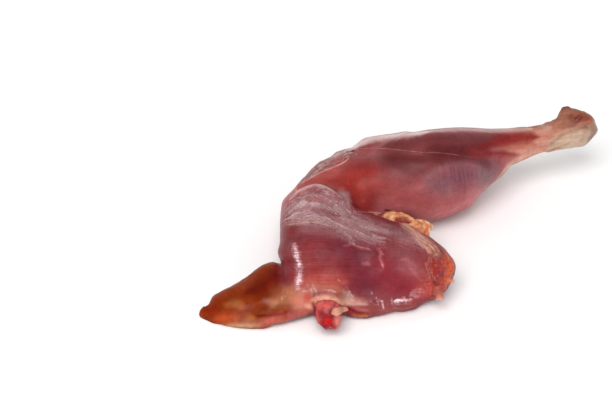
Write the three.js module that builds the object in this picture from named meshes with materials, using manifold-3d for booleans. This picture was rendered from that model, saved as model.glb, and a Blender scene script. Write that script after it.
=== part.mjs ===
// Raw pheasant leg, skinned: thigh and drumstick meat on the thigh bone and the shin bone, with fat in the
// crook of the knee and a flap of fat on the flank. It lies on its side on the plane z = 0.
// Millimetres, +Z up. The drumstick points along +X and the thigh towards -Y.
// The origin is on the table, under the middle of the leg's box.

import * as THREE from "three";
import { MarchingCubes } from "three/addons/objects/MarchingCubes.js";
import { mergeVertices } from "three/addons/utils/BufferGeometryUtils.js";
import Module from "manifold-3d";

const wasm = await Module();
wasm.setup();

// Driving dimensions. Headings are degrees from +X, seen from above. Both bones start at the knee joint.
const THIGH = { heading: -90, crookSide: 1 };
const SHIN = { heading: 15, crookSide: -1 };
const GAP = 0.5; // left between pieces that lie against each other

// Muscles, as stations along the bone: [from the knee, towards the crook, height above the table, radius].
const THIGH_MUSCLES = {
  front: { stations: [[5, 2.2, 13, 10.5], [14, -0.5, 13, 12], [26, -1, 14, 12.5], [48, 0, 13, 13]] },
  middle: { stations: [[35, 12, 12.5, 11.5], [43, 15, 13.5, 13], [51, 16, 13.5, 13.5]] },
  back: { stations: [[41, 21, 12, 10.5], [45, 27, 12, 11.5], [49, 30, 12.5, 12]] },
  hipCorner: { stations: [[41, 27, 10.5, 9.5], [45, 34, 11, 9.8], [48.5, 38, 10.5, 9.8]] },
  hem: {
    stations: [[60, 7, 3.5, 4], [61, 15, 3.5, 4.5], [56, 25, 4, 5], [56, 33, 4.5, 4.4], [55.5, 39.5, 5, 3.3]],
  },
  hipCollar: { stations: [[54, 1, 10.5, 6.5], [62, 1.6, 9.4, 5.6], [67.5, 2, 8.7, 5.2]] },
  flankWeb: { stations: [[45, -7.5, 10, 6], [52, -9.5, 7.5, 6.2], [58, -11, 5, 5.5]] },
  underside: { stations: [[10, 4, 4, 12], [30, 12, 4, 18], [44, 17, 4, 20]], flat: 0.4 },
};
const DRUMSTICK_MUSCLES = {
  calf: {
    stations: [
      [11, 9, 15, 10], [28, 9.7, 16, 15.5], [40, 9.2, 16.5, 17], [53, 5.8, 16, 14.2],
      [63, 3.2, 17, 9.8], [71, 1.4, 18, 6.6], [79, 0.5, 19, 5.1], [88, 0, 20, 4.7],
    ],
  },
  shin: {
    stations: [
      [10, -1, 17, 10], [26, -2, 18, 9], [46, -0.5, 19, 8.5], [62, 0.5, 19.5, 6.5], [77, 1, 20, 4.8],
    ],
  },
  ankleTendon: { stations: [[90, 0.2, 19.5, 3.8], [95.3, -1.8, 25.2, 4.1], [101, -2, 23.4, 4.3]] },
};
const FLANK_RIM = {
  stations: [[61.5, -44.5, 1.4, 2.1], [69.2, -31, 1.4, 2.4], [68, -15, 2, 3.4], [58, 0, 4, 6]],
};
const MUSCLE_BLEND = { thigh: 5, drumstick: 3, knee: 6 };

// Bones, placed the same way.
const SHIN_BONE = {
  shaft: { stations: [[6, 0, 16, 4], [30, 0, 17, 2.8], [70, 0, 19, 2.8], [92, 0.5, 20, 4]] },
  upperCondyle: { stations: [[92, 0, 20, 4], [102, -1.5, 21.5, 4.6]] },
  lowerCondyle: { stations: [[92, 0.5, 19.5, 4.5], [102, 0.5, 18.8, 6]] },
};
const THIGH_BONE = {
  shaft: { stations: [[6, 0, 14, 4], [30, 0, 12, 3.2], [60, 1.5, 9, 3.2], [73, 2, 7.5, 3.4]] },
  neck: { stations: [[69, 1, 7.5, 3.4], [74.4, 3, 7, 3.2]] },
};
const BONE_BLEND = 3;

// Fat, placed along the thigh.
const KNEE_FAT = {
  stations: [[24, 19, 11.5, 6], [27.5, 26, 11, 7.3], [30, 32, 11, 6.8], [29.5, 37, 11.5, 4.6]],
};
const FLANK_FAT = {
  stations: [[61, -42.5, 2.6, 3], [62, -32, 3.2, 8.5], [58, -22, 4.8, 10.5], [52, -14.5, 8.2, 9.5]],
  flat: 0.42,
};
const FAT_EDGE = 2.5; // rounding where the fat ends against the meat

// How finely the surfaces are cut into triangles.
const CELL = { meat: 2.7, bone: 2.3, kneeFat: 1.7, flankFat: 2.2 };
const RELAX_ROUNDS = 12;
const STEPS_PER_STATION = 5;

const COLOURS = { meat: 0x8e3f42, bone: 0xd9c2a6, marrow: 0xb33a3a, fat: 0xd9a65a };

// A function that turns stations beside one bone into points.
function besideBone({ heading, crookSide }) {
  const angle = THREE.MathUtils.degToRad(heading);
  const along = new THREE.Vector3(Math.cos(angle), Math.sin(angle), 0);
  const across = new THREE.Vector3(-along.y, along.x, 0).multiplyScalar(crookSide);
  return (distance, side, height) =>
    new THREE.Vector3(0, 0, height).addScaledVector(along, distance).addScaledVector(across, side);
}

const besideThigh = besideBone(THIGH);
const besideShin = besideBone(SHIN);

// The distance to a round bar on a smooth curve, negative inside. Flat squeezes its height.
function bar({ stations, flat = 1 }, place) {
  const line = new THREE.CatmullRomCurve3(stations.map(([d, side, height]) => place(d, side, height)));
  const radii = stations.map(([, , , radius], i) => new THREE.Vector3(i, radius, 0));
  const profile = new THREE.CatmullRomCurve3(radii, false, "catmullrom");
  const steps = (stations.length - 1) * STEPS_PER_STATION;
  const stretch = new THREE.Vector3(1, 1, 1 / flat);
  const balls = Array.from({ length: steps + 1 }, (_, i) => ({
    centre: line.getPoint(i / steps).multiply(stretch),
    radius: profile.getPoint(i / steps).y,
  }));
  const from = new THREE.Vector3();
  const span = new THREE.Vector3();
  return (point) => {
    let nearest = Infinity;
    for (let i = 0; i < steps; i++) {
      const [a, b] = [balls[i], balls[i + 1]];
      from.copy(point).multiply(stretch).sub(a.centre);
      span.copy(b.centre).sub(a.centre);
      const t = THREE.MathUtils.clamp(from.dot(span) / span.lengthSq(), 0, 1);
      const reach = from.addScaledVector(span, -t).length() - THREE.MathUtils.lerp(a.radius, b.radius, t);
      nearest = Math.min(nearest, reach);
    }
    return nearest * flat;
  };
}

// Joins fields with a rounded valley of width k between them.
function blend(k, ...fields) {
  return (point) =>
    fields.reduce((sum, field) => {
      const next = field(point);
      const overlap = Math.max(k - Math.abs(sum - next), 0) / k;
      return Math.min(sum, next) - (overlap * overlap * k) / 4;
    }, Infinity);
}

const bars = (muscles, place) => Object.values(muscles).map((muscle) => bar(muscle, place));

const meatField = blend(
  MUSCLE_BLEND.knee,
  blend(MUSCLE_BLEND.thigh, ...bars(THIGH_MUSCLES, besideThigh), bar(FLANK_RIM, besideThigh)),
  blend(MUSCLE_BLEND.drumstick, ...bars(DRUMSTICK_MUSCLES, besideShin)),
);

// What is left of a field once the meat, with a gap round it, is taken away.
const clearOfMeat = (field) => {
  const outside = blend(FAT_EDGE, (point) => -field(point), (point) => meatField(point) - GAP);
  return (point) => -outside(point);
};

// The closed surface where a field is zero, inside a box, in triangles about one cell across.
function skin(field, box, cell) {
  const most = 30000;
  const size = Math.ceil(Math.max(...box.getSize(new THREE.Vector3()).toArray()) / cell) + 6;
  const middle = box.getCenter(new THREE.Vector3());
  const cubes = new MarchingCubes(size, new THREE.MeshBasicMaterial(), false, false, most);
  cubes.isolation = 0;
  const point = new THREE.Vector3();
  const nudge = 0.12 * cell; // keeps corners off the surface, so that no triangle is a sliver
  for (let z = 0; z < size; z++) {
    for (let y = 0; y < size; y++) {
      for (let x = 0; x < size; x++) {
        point.set(x, y, z).subScalar(size / 2).multiplyScalar(cell).add(middle);
        const value = field(point);
        cubes.setCell(x, y, z, -Math.sign(value || 1) * Math.max(Math.abs(value), nudge));
      }
    }
  }
  cubes.update();
  const corners = new THREE.BufferAttribute(cubes.positionArray.slice(0, cubes.count * 3), 3);
  const soup = new THREE.BufferGeometry().setAttribute("position", corners);
  soup.scale((size * cell) / 2, (size * cell) / 2, (size * cell) / 2).translate(...middle.toArray());
  return relaxed(mergeVertices(soup, cell * 1e-3), field, cell);
}

// Evens out the triangles, keeps their corners on the field's surface and flattens what dips below the table.
function relaxed(geometry, field, cell) {
  const position = geometry.attributes.position;
  const neighbours = Array.from({ length: position.count }, () => new Set());
  const index = geometry.index.array;
  for (let i = 0; i < index.length; i += 3) {
    for (let k = 0; k < 3; k++) {
      neighbours[index[i + k]].add(index[i + ((k + 1) % 3)]).add(index[i + ((k + 2) % 3)]);
    }
  }
  const at = (i) => new THREE.Vector3().fromBufferAttribute(position, i);
  const step = cell * 0.05;
  const slope = (p) =>
    new THREE.Vector3(...["x", "y", "z"].map((axis) => {
      const ahead = p.clone();
      const behind = p.clone();
      ahead[axis] += step;
      behind[axis] -= step;
      return (field(ahead) - field(behind)) / (2 * step);
    }));
  for (let round = 0; round < RELAX_ROUNDS; round++) {
    const moved = neighbours.map((around, i) => {
      const mean = new THREE.Vector3();
      around.forEach((j) => mean.add(at(j)));
      const p = at(i).lerp(mean.divideScalar(around.size), 0.5);
      const gradient = slope(p);
      const over = field(p) / Math.max(gradient.lengthSq(), 0.05);
      return p.addScaledVector(gradient, -THREE.MathUtils.clamp(over, -cell / 2, cell / 2));
    });
    moved.forEach((p, i) => position.setXYZ(i, p.x, p.y, p.z));
  }
  for (let i = 0; i < position.count; i++) position.setZ(i, Math.max(position.getZ(i), 0));
  return geometry;
}

// A closed geometry as a solid that can be cut, and back again.
function solid(geometry) {
  const vertProperties = geometry.attributes.position.array;
  const triVerts = Uint32Array.from(geometry.index.array);
  return new wasm.Manifold(new wasm.Mesh({ numProp: 3, vertProperties, triVerts }));
}

function geometryOf(body) {
  const { vertProperties, triVerts } = body.getMesh();
  const geometry = new THREE.BufferGeometry();
  geometry.setAttribute("position", new THREE.BufferAttribute(vertProperties, 3));
  return geometry.setIndex(new THREE.BufferAttribute(triVerts, 1));
}

const boxOf = (low, high) => new THREE.Box3(new THREE.Vector3(...low), new THREE.Vector3(...high));

const leg = new THREE.Group();

function addNode(name, geometry, colour, roughness) {
  const material = new THREE.MeshStandardMaterial({ color: colour, roughness, metalness: 0 });
  const mesh = new THREE.Mesh(geometry, material);
  mesh.name = name;
  leg.add(mesh);
}

const shinField = blend(BONE_BLEND, ...bars(SHIN_BONE, besideShin));
const thighField = blend(BONE_BLEND, ...bars(THIGH_BONE, besideThigh));
const grown = (field) => (point) => field(point) - GAP;
const shinBox = boxOf([0, -12, 6], [110, 40, 36]);
const thighBox = boxOf([-8, -86, -2], [12, 0, 24]);

const meat = solid(skin(meatField, boxOf([-48, -80, -4], [104, 40, 40]), CELL.meat))
  .subtract(solid(skin(grown(thighField), thighBox, CELL.bone)))
  .subtract(solid(skin(grown(shinField), shinBox, CELL.bone)));
addNode("meat", geometryOf(meat), COLOURS.meat, 0.35);
addNode("thigh_bone", skin(thighField, thighBox, CELL.bone), COLOURS.marrow, 0.4);
addNode("shin_bone", skin(shinField, shinBox, CELL.bone), COLOURS.bone, 0.5);
const kneeFat = clearOfMeat(bar(KNEE_FAT, besideThigh));
addNode("knee_fat", skin(kneeFat, boxOf([0, -50, 0], [52, 0, 30]), CELL.kneeFat), COLOURS.fat, 0.5);
const flankFat = clearOfMeat(bar(FLANK_FAT, besideThigh));
addNode("flank_fat", skin(flankFat, boxOf([-55, -80, -2], [10, -25, 20]), CELL.flankFat), COLOURS.fat, 0.5);

// Puts the origin under the middle of the box.
const box = new THREE.Box3().setFromObject(leg);
const middle = box.getCenter(new THREE.Vector3());
leg.children.forEach((mesh) => mesh.position.set(-middle.x, -middle.y, -box.min.z));

export default leg;
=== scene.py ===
import bpy
import bmesh
import math
import numpy as np
from mathutils import Matrix, Vector, noise
from mathutils.bvhtree import BVHTree
from mathutils.kdtree import KDTree


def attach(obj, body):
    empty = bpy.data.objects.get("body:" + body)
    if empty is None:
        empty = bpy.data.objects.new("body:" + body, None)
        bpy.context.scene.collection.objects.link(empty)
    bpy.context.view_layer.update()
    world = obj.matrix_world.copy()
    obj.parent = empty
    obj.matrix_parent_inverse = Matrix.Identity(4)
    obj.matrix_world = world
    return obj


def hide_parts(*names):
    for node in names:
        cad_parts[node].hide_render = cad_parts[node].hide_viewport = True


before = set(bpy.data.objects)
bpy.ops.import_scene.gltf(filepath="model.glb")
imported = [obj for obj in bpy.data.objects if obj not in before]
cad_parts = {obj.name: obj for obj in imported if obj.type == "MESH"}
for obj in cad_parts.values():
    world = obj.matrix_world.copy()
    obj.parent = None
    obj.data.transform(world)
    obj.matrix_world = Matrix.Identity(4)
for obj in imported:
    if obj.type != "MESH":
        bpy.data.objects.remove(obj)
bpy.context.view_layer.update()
mm = 0.001
print("frame loaded")

# camera, at the photograph's angle
shot = {
    "aim": (-36.0, 8.4, 14.0),   # mm, seen in the middle of the picture
    "elevation": 35.0,
    "distance": 1000.0,
    "lens": 158.8,
    "picture": (612, 408),
}
tilt = math.radians(shot["elevation"])
ahead = np.array([0, math.cos(tilt), -math.sin(tilt)])
upward = np.array([0, math.sin(tilt), math.cos(tilt)])
rightward = np.array([1.0, 0, 0])
eye = np.array(shot["aim"]) - ahead * shot["distance"]
sensor = 36.0
focal = shot["lens"] / sensor * shot["picture"][0]
halfWide = shot["picture"][0] / 2
halfHigh = shot["picture"][1] / 2


def makeCamera():
    data = bpy.data.cameras.new("camera")
    data.lens = shot["lens"]
    data.sensor_width = sensor
    data.clip_start, data.clip_end = 0.05, 20.0
    camera = bpy.data.objects.new("camera", data)
    camera.location = Vector(eye) * mm
    camera.rotation_mode = "QUATERNION"
    camera.rotation_quaternion = Vector(ahead).to_track_quat("-Z", "Y")
    bpy.context.scene.collection.objects.link(camera)
    bpy.context.scene.camera = camera


makeCamera()


def seenAt(points):
    # where points, in mm, show in the picture
    away = points - eye
    depth = away @ ahead
    px = halfWide + focal * (away @ rightward) / depth
    py = halfHigh - focal * (away @ upward) / depth
    return px, py


# where the two limbs lie, in mm: the knee, and the headings of thigh and shin
limbs = {"knee": np.array([-29.84, 22.43]), "thigh": -90.0, "shin": 15.0}


def ease(t):
    t = np.clip(t, 0, 1)
    return t * t * (3 - 2 * t)


def limbFrame(name, side):
    a = math.radians(limbs[name])
    return np.array([math.cos(a), math.sin(a), 0]), np.array([-math.sin(a), math.cos(a), 0]) * side


thighWay, thighSide = limbFrame("thigh", 1.0)
shinWay, shinSide = limbFrame("shin", -1.0)
knee = np.array([*limbs["knee"], 0])


def beside(way, side, along, across, height):
    return knee + way * along + side * across + np.array([0, 0, height])


def limbCoordinates(points):
    # along each limb from the knee, across it towards the crook, and how far a point belongs to the shin
    flat = points - knee
    thigh = (flat @ thighWay, flat @ thighSide)
    shin = (flat @ shinWay, flat @ shinSide)
    gap = np.hypot(np.minimum(thigh[0], 0), thigh[1] - 14) - np.hypot(np.minimum(shin[0], 0), shin[1] - 5)
    return thigh, shin, ease((gap + 6) / 16)


def smoothLine(corners, steps=8):
    # a curve through the corners
    p = np.array(corners, float)
    p = np.vstack([2 * p[0] - p[1], p, 2 * p[-1] - p[-2]])
    out = []
    for i in range(1, len(p) - 2):
        for t in np.arange(steps) / steps:
            out.append(0.5 * (2 * p[i] + (p[i + 1] - p[i - 1]) * t
                              + (2 * p[i - 1] - 5 * p[i] + 4 * p[i + 1] - p[i + 2]) * t * t
                              + (3 * p[i] - p[i - 1] - 3 * p[i + 1] + p[i + 2]) * t ** 3))
    out.append(p[-2])
    return np.array(out)


def noiseAt(points, size, seed=0.0):
    # smooth noise from about -1 to 1, with lumps of the given size in mm
    scaled = (points / size + seed * 17.3).tolist()
    return np.array([noise.noise(p) for p in scaled])


def layered(points, *layers):
    # noise of several sizes: size in mm, seed, strength
    return sum(strength * noiseAt(points, size, seed) for size, seed, strength in layers)


def toLine(points, line, limit):
    # from each point to a line, and how far along it, 0 to 1. Beyond the limit it is the limit
    best = np.full(len(points), float(limit))
    where = np.zeros(len(points))
    if len(line) == 0:
        return best, where
    if len(line) == 1:
        line = np.vstack([line, line + 0.01])
    chosen = np.nonzero(np.all((points > line.min(0) - limit) & (points < line.max(0) + limit), 1))[0]
    p = points[chosen]
    d = np.full(len(p), float(limit))
    w = np.zeros(len(p))
    for i, (a, b) in enumerate(zip(line[:-1], line[1:])):
        span = b - a
        t = np.clip((p - a) @ span / max(span @ span, 1e-9), 0, 1)
        reach = np.linalg.norm(p - a - t[:, None] * span, axis=1)
        nearer = reach < d
        d[nearer] = reach[nearer]
        w[nearer] = (i + t[nearer]) / (len(line) - 1)
    best[chosen], where[chosen] = d, w
    return best, where


class Skin:
    # a working copy of one node: its points in mm, and the ways to shape and paint them
    fairSteps = (0.5, -0.53)    # a step in, and a slightly longer one out that keeps the volume
    leastHeight = 0.02    # mm above the table

    def __init__(self, node, name, voxel, fairing, plugs=()):
        bm = bmesh.new()
        bm.from_mesh(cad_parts[node].data)
        bmesh.ops.remove_doubles(bm, verts=bm.verts, dist=1e-6)
        for plug in plugs:
            addPlug(bm, *plug)
        mesh = bpy.data.meshes.new(name + "Rough")
        bm.to_mesh(mesh)
        bm.free()
        self.piece = bpy.data.objects.new(name, mesh)
        bpy.context.scene.collection.objects.link(self.piece)
        remesh = self.piece.modifiers.new("remesh", "REMESH")
        remesh.mode = "VOXEL"
        remesh.voxel_size = voxel * mm
        shaped = self.piece.evaluated_get(bpy.context.evaluated_depsgraph_get())
        fine = bpy.data.meshes.new_from_object(shaped)
        fine.name = name
        self.piece.modifiers.clear()
        self.piece.data = fine
        bpy.data.meshes.remove(mesh)
        self.mesh = fine
        self.points = np.zeros(len(fine.vertices) * 3)
        fine.vertices.foreach_get("co", self.points)
        self.points = self.points.reshape(-1, 3) / mm
        self.edges = np.zeros(len(fine.edges) * 2, int)
        fine.edges.foreach_get("vertices", self.edges)
        self.edges = self.edges.reshape(-1, 2)
        self.links = np.bincount(self.edges.ravel(), minlength=len(self.points))
        self.fair(fairing)
        self.settle()
        self.waver = layered(self.points, (5.0, 21, 0.3), (1.8, 22, 0.25))
        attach(self.piece, "root")
        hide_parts(node)

    def mean(self, values):
        a, b = self.edges.T
        if values.ndim == 1:
            total = np.bincount(a, values[b], len(values)) + np.bincount(b, values[a], len(values))
            return total / self.links
        return np.stack([self.mean(values[:, i]) for i in range(values.shape[1])], 1)

    def fair(self, rounds):
        # evens out facets
        for _ in range(rounds):
            for push in self.fairSteps:
                self.points = self.points + push * (self.mean(self.points) - self.points)

    def relax(self, rounds, mask=1.0):
        # smooths bumps away
        for _ in range(rounds):
            self.points = self.points + 0.5 * mask * (self.mean(self.points) - self.points)

    def settle(self):
        # puts the points into the mesh
        self.points[:, 2] = np.maximum(self.points[:, 2], self.leastHeight)
        self.mesh.vertices.foreach_set("co", (self.points * mm).ravel())
        self.mesh.update()
        normals = np.zeros(len(self.points) * 3)
        self.mesh.vertex_normals.foreach_get("vector", normals)
        self.normals = normals.reshape(-1, 3)
        bm = bmesh.new()
        bm.from_mesh(self.mesh)
        self.tree = BVHTree.FromBMesh(bm)
        bm.free()

    def lineAt(self, pixels, steps=8):
        # a line on the surface where the camera sees these places of the picture
        hits = []
        for px, py in (smoothLine(pixels, steps) if len(pixels) > 1 else pixels):
            way = ahead * focal + rightward * (px - halfWide) + upward * (halfHigh - py)
            hit = self.tree.ray_cast(Vector(eye) * mm, Vector(way).normalized())[0]
            if hit:
                hits.append(np.array(hit) / mm)
        return np.array(hits)

    def distance(self, line, limit):
        return toLine(self.points, line, limit)

    def drawOutline(self, rows):
        # moves stretches of the outline in the picture's plane, front and back alike
        flat = np.stack(seenAt(self.points), 1)
        perPixel = ((self.points - eye) @ ahead / focal)[:, None]
        for reach, (right, down), path in rows:
            d, _ = toLine(flat, smoothLine(path) if len(path) > 1 else np.array(path, float), reach)
            drawn = ease(1 - d / reach)[:, None] * perPixel
            self.points = self.points + drawn * (rightward * right - upward * down)

    def brush(self, pixels, width, edge=1.0, taper=0.0, waver=0.0):
        # 1 on the line, 0 at the width. Edge hardens the rim, taper narrows the ends, waver frays it
        d, w = self.distance(self.lineAt(pixels), width * 1.3)
        reach = width * (1 - taper * np.abs(2 * w - 1) ** 3)
        return ease((1 - d * (1 + waver * self.waver) / reach) * edge)

    def threads(self, lines, limit=6.0):
        # distance to the nearest thin line in widths of it, signed by its side, and its strength
        nearest = np.full(len(self.points), limit)
        strength = np.zeros(len(self.points))
        for width, strong, pixels in lines:
            line = self.lineAt(pixels, 12)
            d, w = self.distance(line, width * limit)
            at = np.minimum((w * (len(line) - 1)).astype(int), len(line) - 2)
            turn = np.cross(self.points - line[at], line[at + 1] - line[at])
            side = np.where((turn * self.normals).sum(1) < 0, -1.0, 1.0)
            closer = d / width < np.abs(nearest)
            nearest = np.where(closer, side * d / width, nearest)
            near = strong * (d < 0.6 * width * limit) * ease(np.minimum(w, 1 - w) / 0.08)
            strength = np.where(closer, near, strength)
        return nearest, strength

    def push(self, amount):
        self.points = self.points + self.normals * np.asarray(amount)[:, None]

    def store(self, name, values):
        kind = "FLOAT" if values.ndim == 1 else ("FLOAT_VECTOR" if values.shape[1] == 3 else "FLOAT_COLOR")
        layer = self.mesh.attributes.new(name, kind, "POINT")
        field = {"FLOAT": "value", "FLOAT_VECTOR": "vector", "FLOAT_COLOR": "color"}[kind]
        layer.data.foreach_set(field, np.ascontiguousarray(values, dtype=np.float32).ravel())

    def finish(self, material):
        self.settle()
        self.mesh.polygons.foreach_set("use_smooth", np.ones(len(self.mesh.polygons), bool))
        self.mesh.materials.clear()
        self.mesh.materials.append(material)
        print(self.piece.name, len(self.points), "points")


def addPlug(bm, node, swell, cuts):
    # joins another node's mesh, grown a little and trimmed by planes, so that the two make one skin
    part = bmesh.new()
    part.from_mesh(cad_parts[node].data)
    bmesh.ops.remove_doubles(part, verts=part.verts, dist=1e-6)
    part.normal_update()
    for vert in part.verts:
        vert.co += vert.normal * swell * mm
    for at, facing in cuts:
        everything = part.verts[:] + part.edges[:] + part.faces[:]
        bmesh.ops.bisect_plane(part, geom=everything, plane_co=Vector(at) * mm, plane_no=Vector(facing),
                               clear_outer=True)
        bmesh.ops.holes_fill(part, edges=part.edges)
    mesh = bpy.data.meshes.new("plug")
    part.to_mesh(mesh)
    part.free()
    bm.from_mesh(mesh)
    bpy.data.meshes.remove(mesh)


def linear(red, green, blue):
    # screen colour, 0 to 255, as light
    c = np.array([red, green, blue]) / 255.0
    return np.where(c <= 0.04045, c / 12.92, ((c + 0.055) / 1.055) ** 2.4)


# colours of the flesh, as they show on screen
flesh = {
    "thighRed": linear(120, 40, 47),
    "crimson": linear(130, 32, 44),
    "purple": linear(104, 30, 44),
    "striated": linear(112, 16, 22),
    "salmon": linear(176, 70, 60),
    "hem": linear(228, 164, 138),
    "fascia": linear(156, 117, 119),
    "fasciaWhite": linear(204, 170, 168),
    "rimFilmAndHighlight": linear(232, 204, 200),
    "innerPink": linear(148, 78, 76),
    "calfPink": linear(160, 80, 80),
    # violet and silver: partly a painted sheen
    "violet": linear(104, 62, 76),
    "silver": linear(126, 96, 100),
    "rosePale": linear(186, 104, 106),
    "brownRed": linear(98, 36, 40),
    "deepRed": linear(74, 12, 16),
    "rust": linear(142, 42, 34),
    "hollow": linear(150, 42, 34),
    "kneeGrey": linear(138, 88, 84),
    "kneeWhite": linear(190, 160, 150),
    "muscleRed": linear(126, 26, 28),
    "shankPink": linear(166, 96, 82),
    "tan": linear(168, 106, 84),
    "tendon": linear(196, 148, 132),
    "sheath": linear(126, 78, 60),
    "sheathTan": linear(170, 112, 84),
    "pit": linear(116, 32, 22),
    "greyMauve": linear(140, 104, 104),
    "cutRed": linear(140, 34, 28),
    "cutEdge": linear(198, 86, 44),
    "cutPink": linear(150, 58, 48),
    "speck": linear(96, 8, 4),
    "fatLine": linear(194, 134, 112),
    "fatGrey": linear(208, 168, 146),
    "membrane": linear(200, 152, 138),
    "slit": linear(124, 0, 0),
    "cream": linear(186, 158, 136),
    "greyCream": linear(116, 84, 68),
    "crookTan": linear(214, 142, 98),
    "apronTan": linear(172, 108, 74),
    # deep red-brown: partly the tissue's colour, partly a painted shadow, and painted shade in creases
    "apronRedAndShade": linear(96, 10, 2),
    # the flap's base orange, darkened in part as painted shade
    "fatOrange": linear(126, 42, 0),
    "fatYellow": linear(214, 150, 88),
    "fatCream": linear(232, 196, 156),
    "fatRed": linear(120, 18, 0),
    "flapPink": linear(182, 92, 80),
    "flapRed": linear(132, 36, 34),
    "coral": linear(180, 48, 46),
    "marrow": linear(188, 0, 2),
    "stubPale": linear(206, 100, 94),
    "lobePink": linear(188, 114, 108),
    "stubMid": linear(140, 26, 34),
    "lipPink": linear(146, 72, 66),
    "tanPink": linear(188, 112, 90),
    "edgePink": linear(166, 90, 82),
}


class Paint:
    # colour of each point of a skin, laid on in strokes

    def __init__(self, skin, colour):
        self.skin = skin
        self.tint = np.tile(flesh[colour], (len(skin.points), 1))

    def lay(self, mask, colour):
        self.tint += mask[:, None] * (flesh[colour] - self.tint)

    def strokes(self, rows, taper=0.75):
        for colour, width, strength, edge, path in rows:
            waver = 1.3 if width < 5 else 0.4    # wide washes keep a soft rim
            self.lay(strength * self.skin.brush(path, width, edge, taper, waver), colour)

    def dapple(self, mask, values, high, low, shift=0.0):
        # one colour where the values are high, another where they are low: colour, strength, gain
        for sign, (colour, strength, gain) in ((1, high), (-1, low)):
            self.lay(mask * strength * ease(sign * values * gain + shift), colour)

    def soften(self, rounds):
        for _ in range(rounds):
            self.tint += 0.7 * (self.skin.mean(self.tint) - self.tint)

    def blend(self, mask, other):
        # takes over the nearest colours of another skin's paint
        tree = KDTree(len(other.skin.points))
        for i, point in enumerate(other.skin.points.tolist()):
            tree.insert(point, i)
        tree.balance()
        for i in np.nonzero(mask)[0]:
            near = tree.find(self.skin.points[i].tolist())[1]
            self.tint[i] += mask[i] * (other.tint[near] - self.tint[i])

    def store(self):
        self.skin.store("tint", np.hstack([np.clip(self.tint, 0, 1), np.ones((len(self.tint), 1))]))


# strokes that the flap and the meat beside it share, so that no seam shows
# colour, reach mm, strength, edge, path in the picture
apron = [
    ("apronTan", 8, 0.95, 0.9, [(272, 308), (284, 299), (293, 288)]),
    # deep red-brown high on the flap: partly the tissue's colour, partly a painted shadow
    ("apronRedAndShade", 9, 0.9, 0.9, [(246, 294), (260, 288), (272, 280), (276, 270)]),
    ("fatOrange", 8, 0.9, 0.8, [(222, 312), (240, 312), (258, 310)]),
    ("cutEdge", 4, 0.6, 0.8, [(214, 317), (228, 319), (240, 318)]),
    ("fatRed", 5, 0.7, 0.8, [(200, 308), (210, 310), (220, 312)]),
    ("tanPink", 6, 0.9, 0.8, [(288, 303), (300, 299), (312, 302)]),
    ("flapPink", 3.4, 0.9, 1.0, [(260, 323), (280, 320), (298, 316), (313, 310)]),
    ("tanPink", 3.2, 0.9, 0.9, [(294, 305), (304, 306), (313, 309)]),
    ("flapRed", 1.2, 0.6, 0.9, [(258, 316), (272, 315), (286, 313), (300, 309)]),
    ("fatCream", 1.5, 0.6, 0.8, [(222, 323), (240, 325), (262, 325)]),
    ("hem", 2.4, 0.5, 0.8, [(264, 301), (276, 303), (284, 298)]),
    ("fatYellow", 2.4, 0.3, 0.8, [(226, 306), (236, 304), (244, 308)]),
    ("fatYellow", 2.0, 0.35, 0.8, [(244, 319), (256, 318)]),
    # dark creases: painted shade
    ("apronRedAndShade", 0.8, 0.6, 0.9, [(254, 313), (261, 316), (269, 315)]),
]
# how the ankle's outline is drawn in, sheath and bone alike
ankleDrawn = [
    (9, (0.5, 4.5), [(551, 116), (556, 111.5)]),
    (7, (0.0, 1.3), [(544, 123)]),
    (6, (1.5, 3.0), [(556.5, 114)]),
    (12, (0.0, 3.0), [(522, 157), (534, 153), (546, 150)]),
    (11, (-2.0, -2.0), [(579, 151), (585, 147), (591, 140)]),
    (8, (2.0, 0.5), [(596, 128)]),
]
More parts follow.
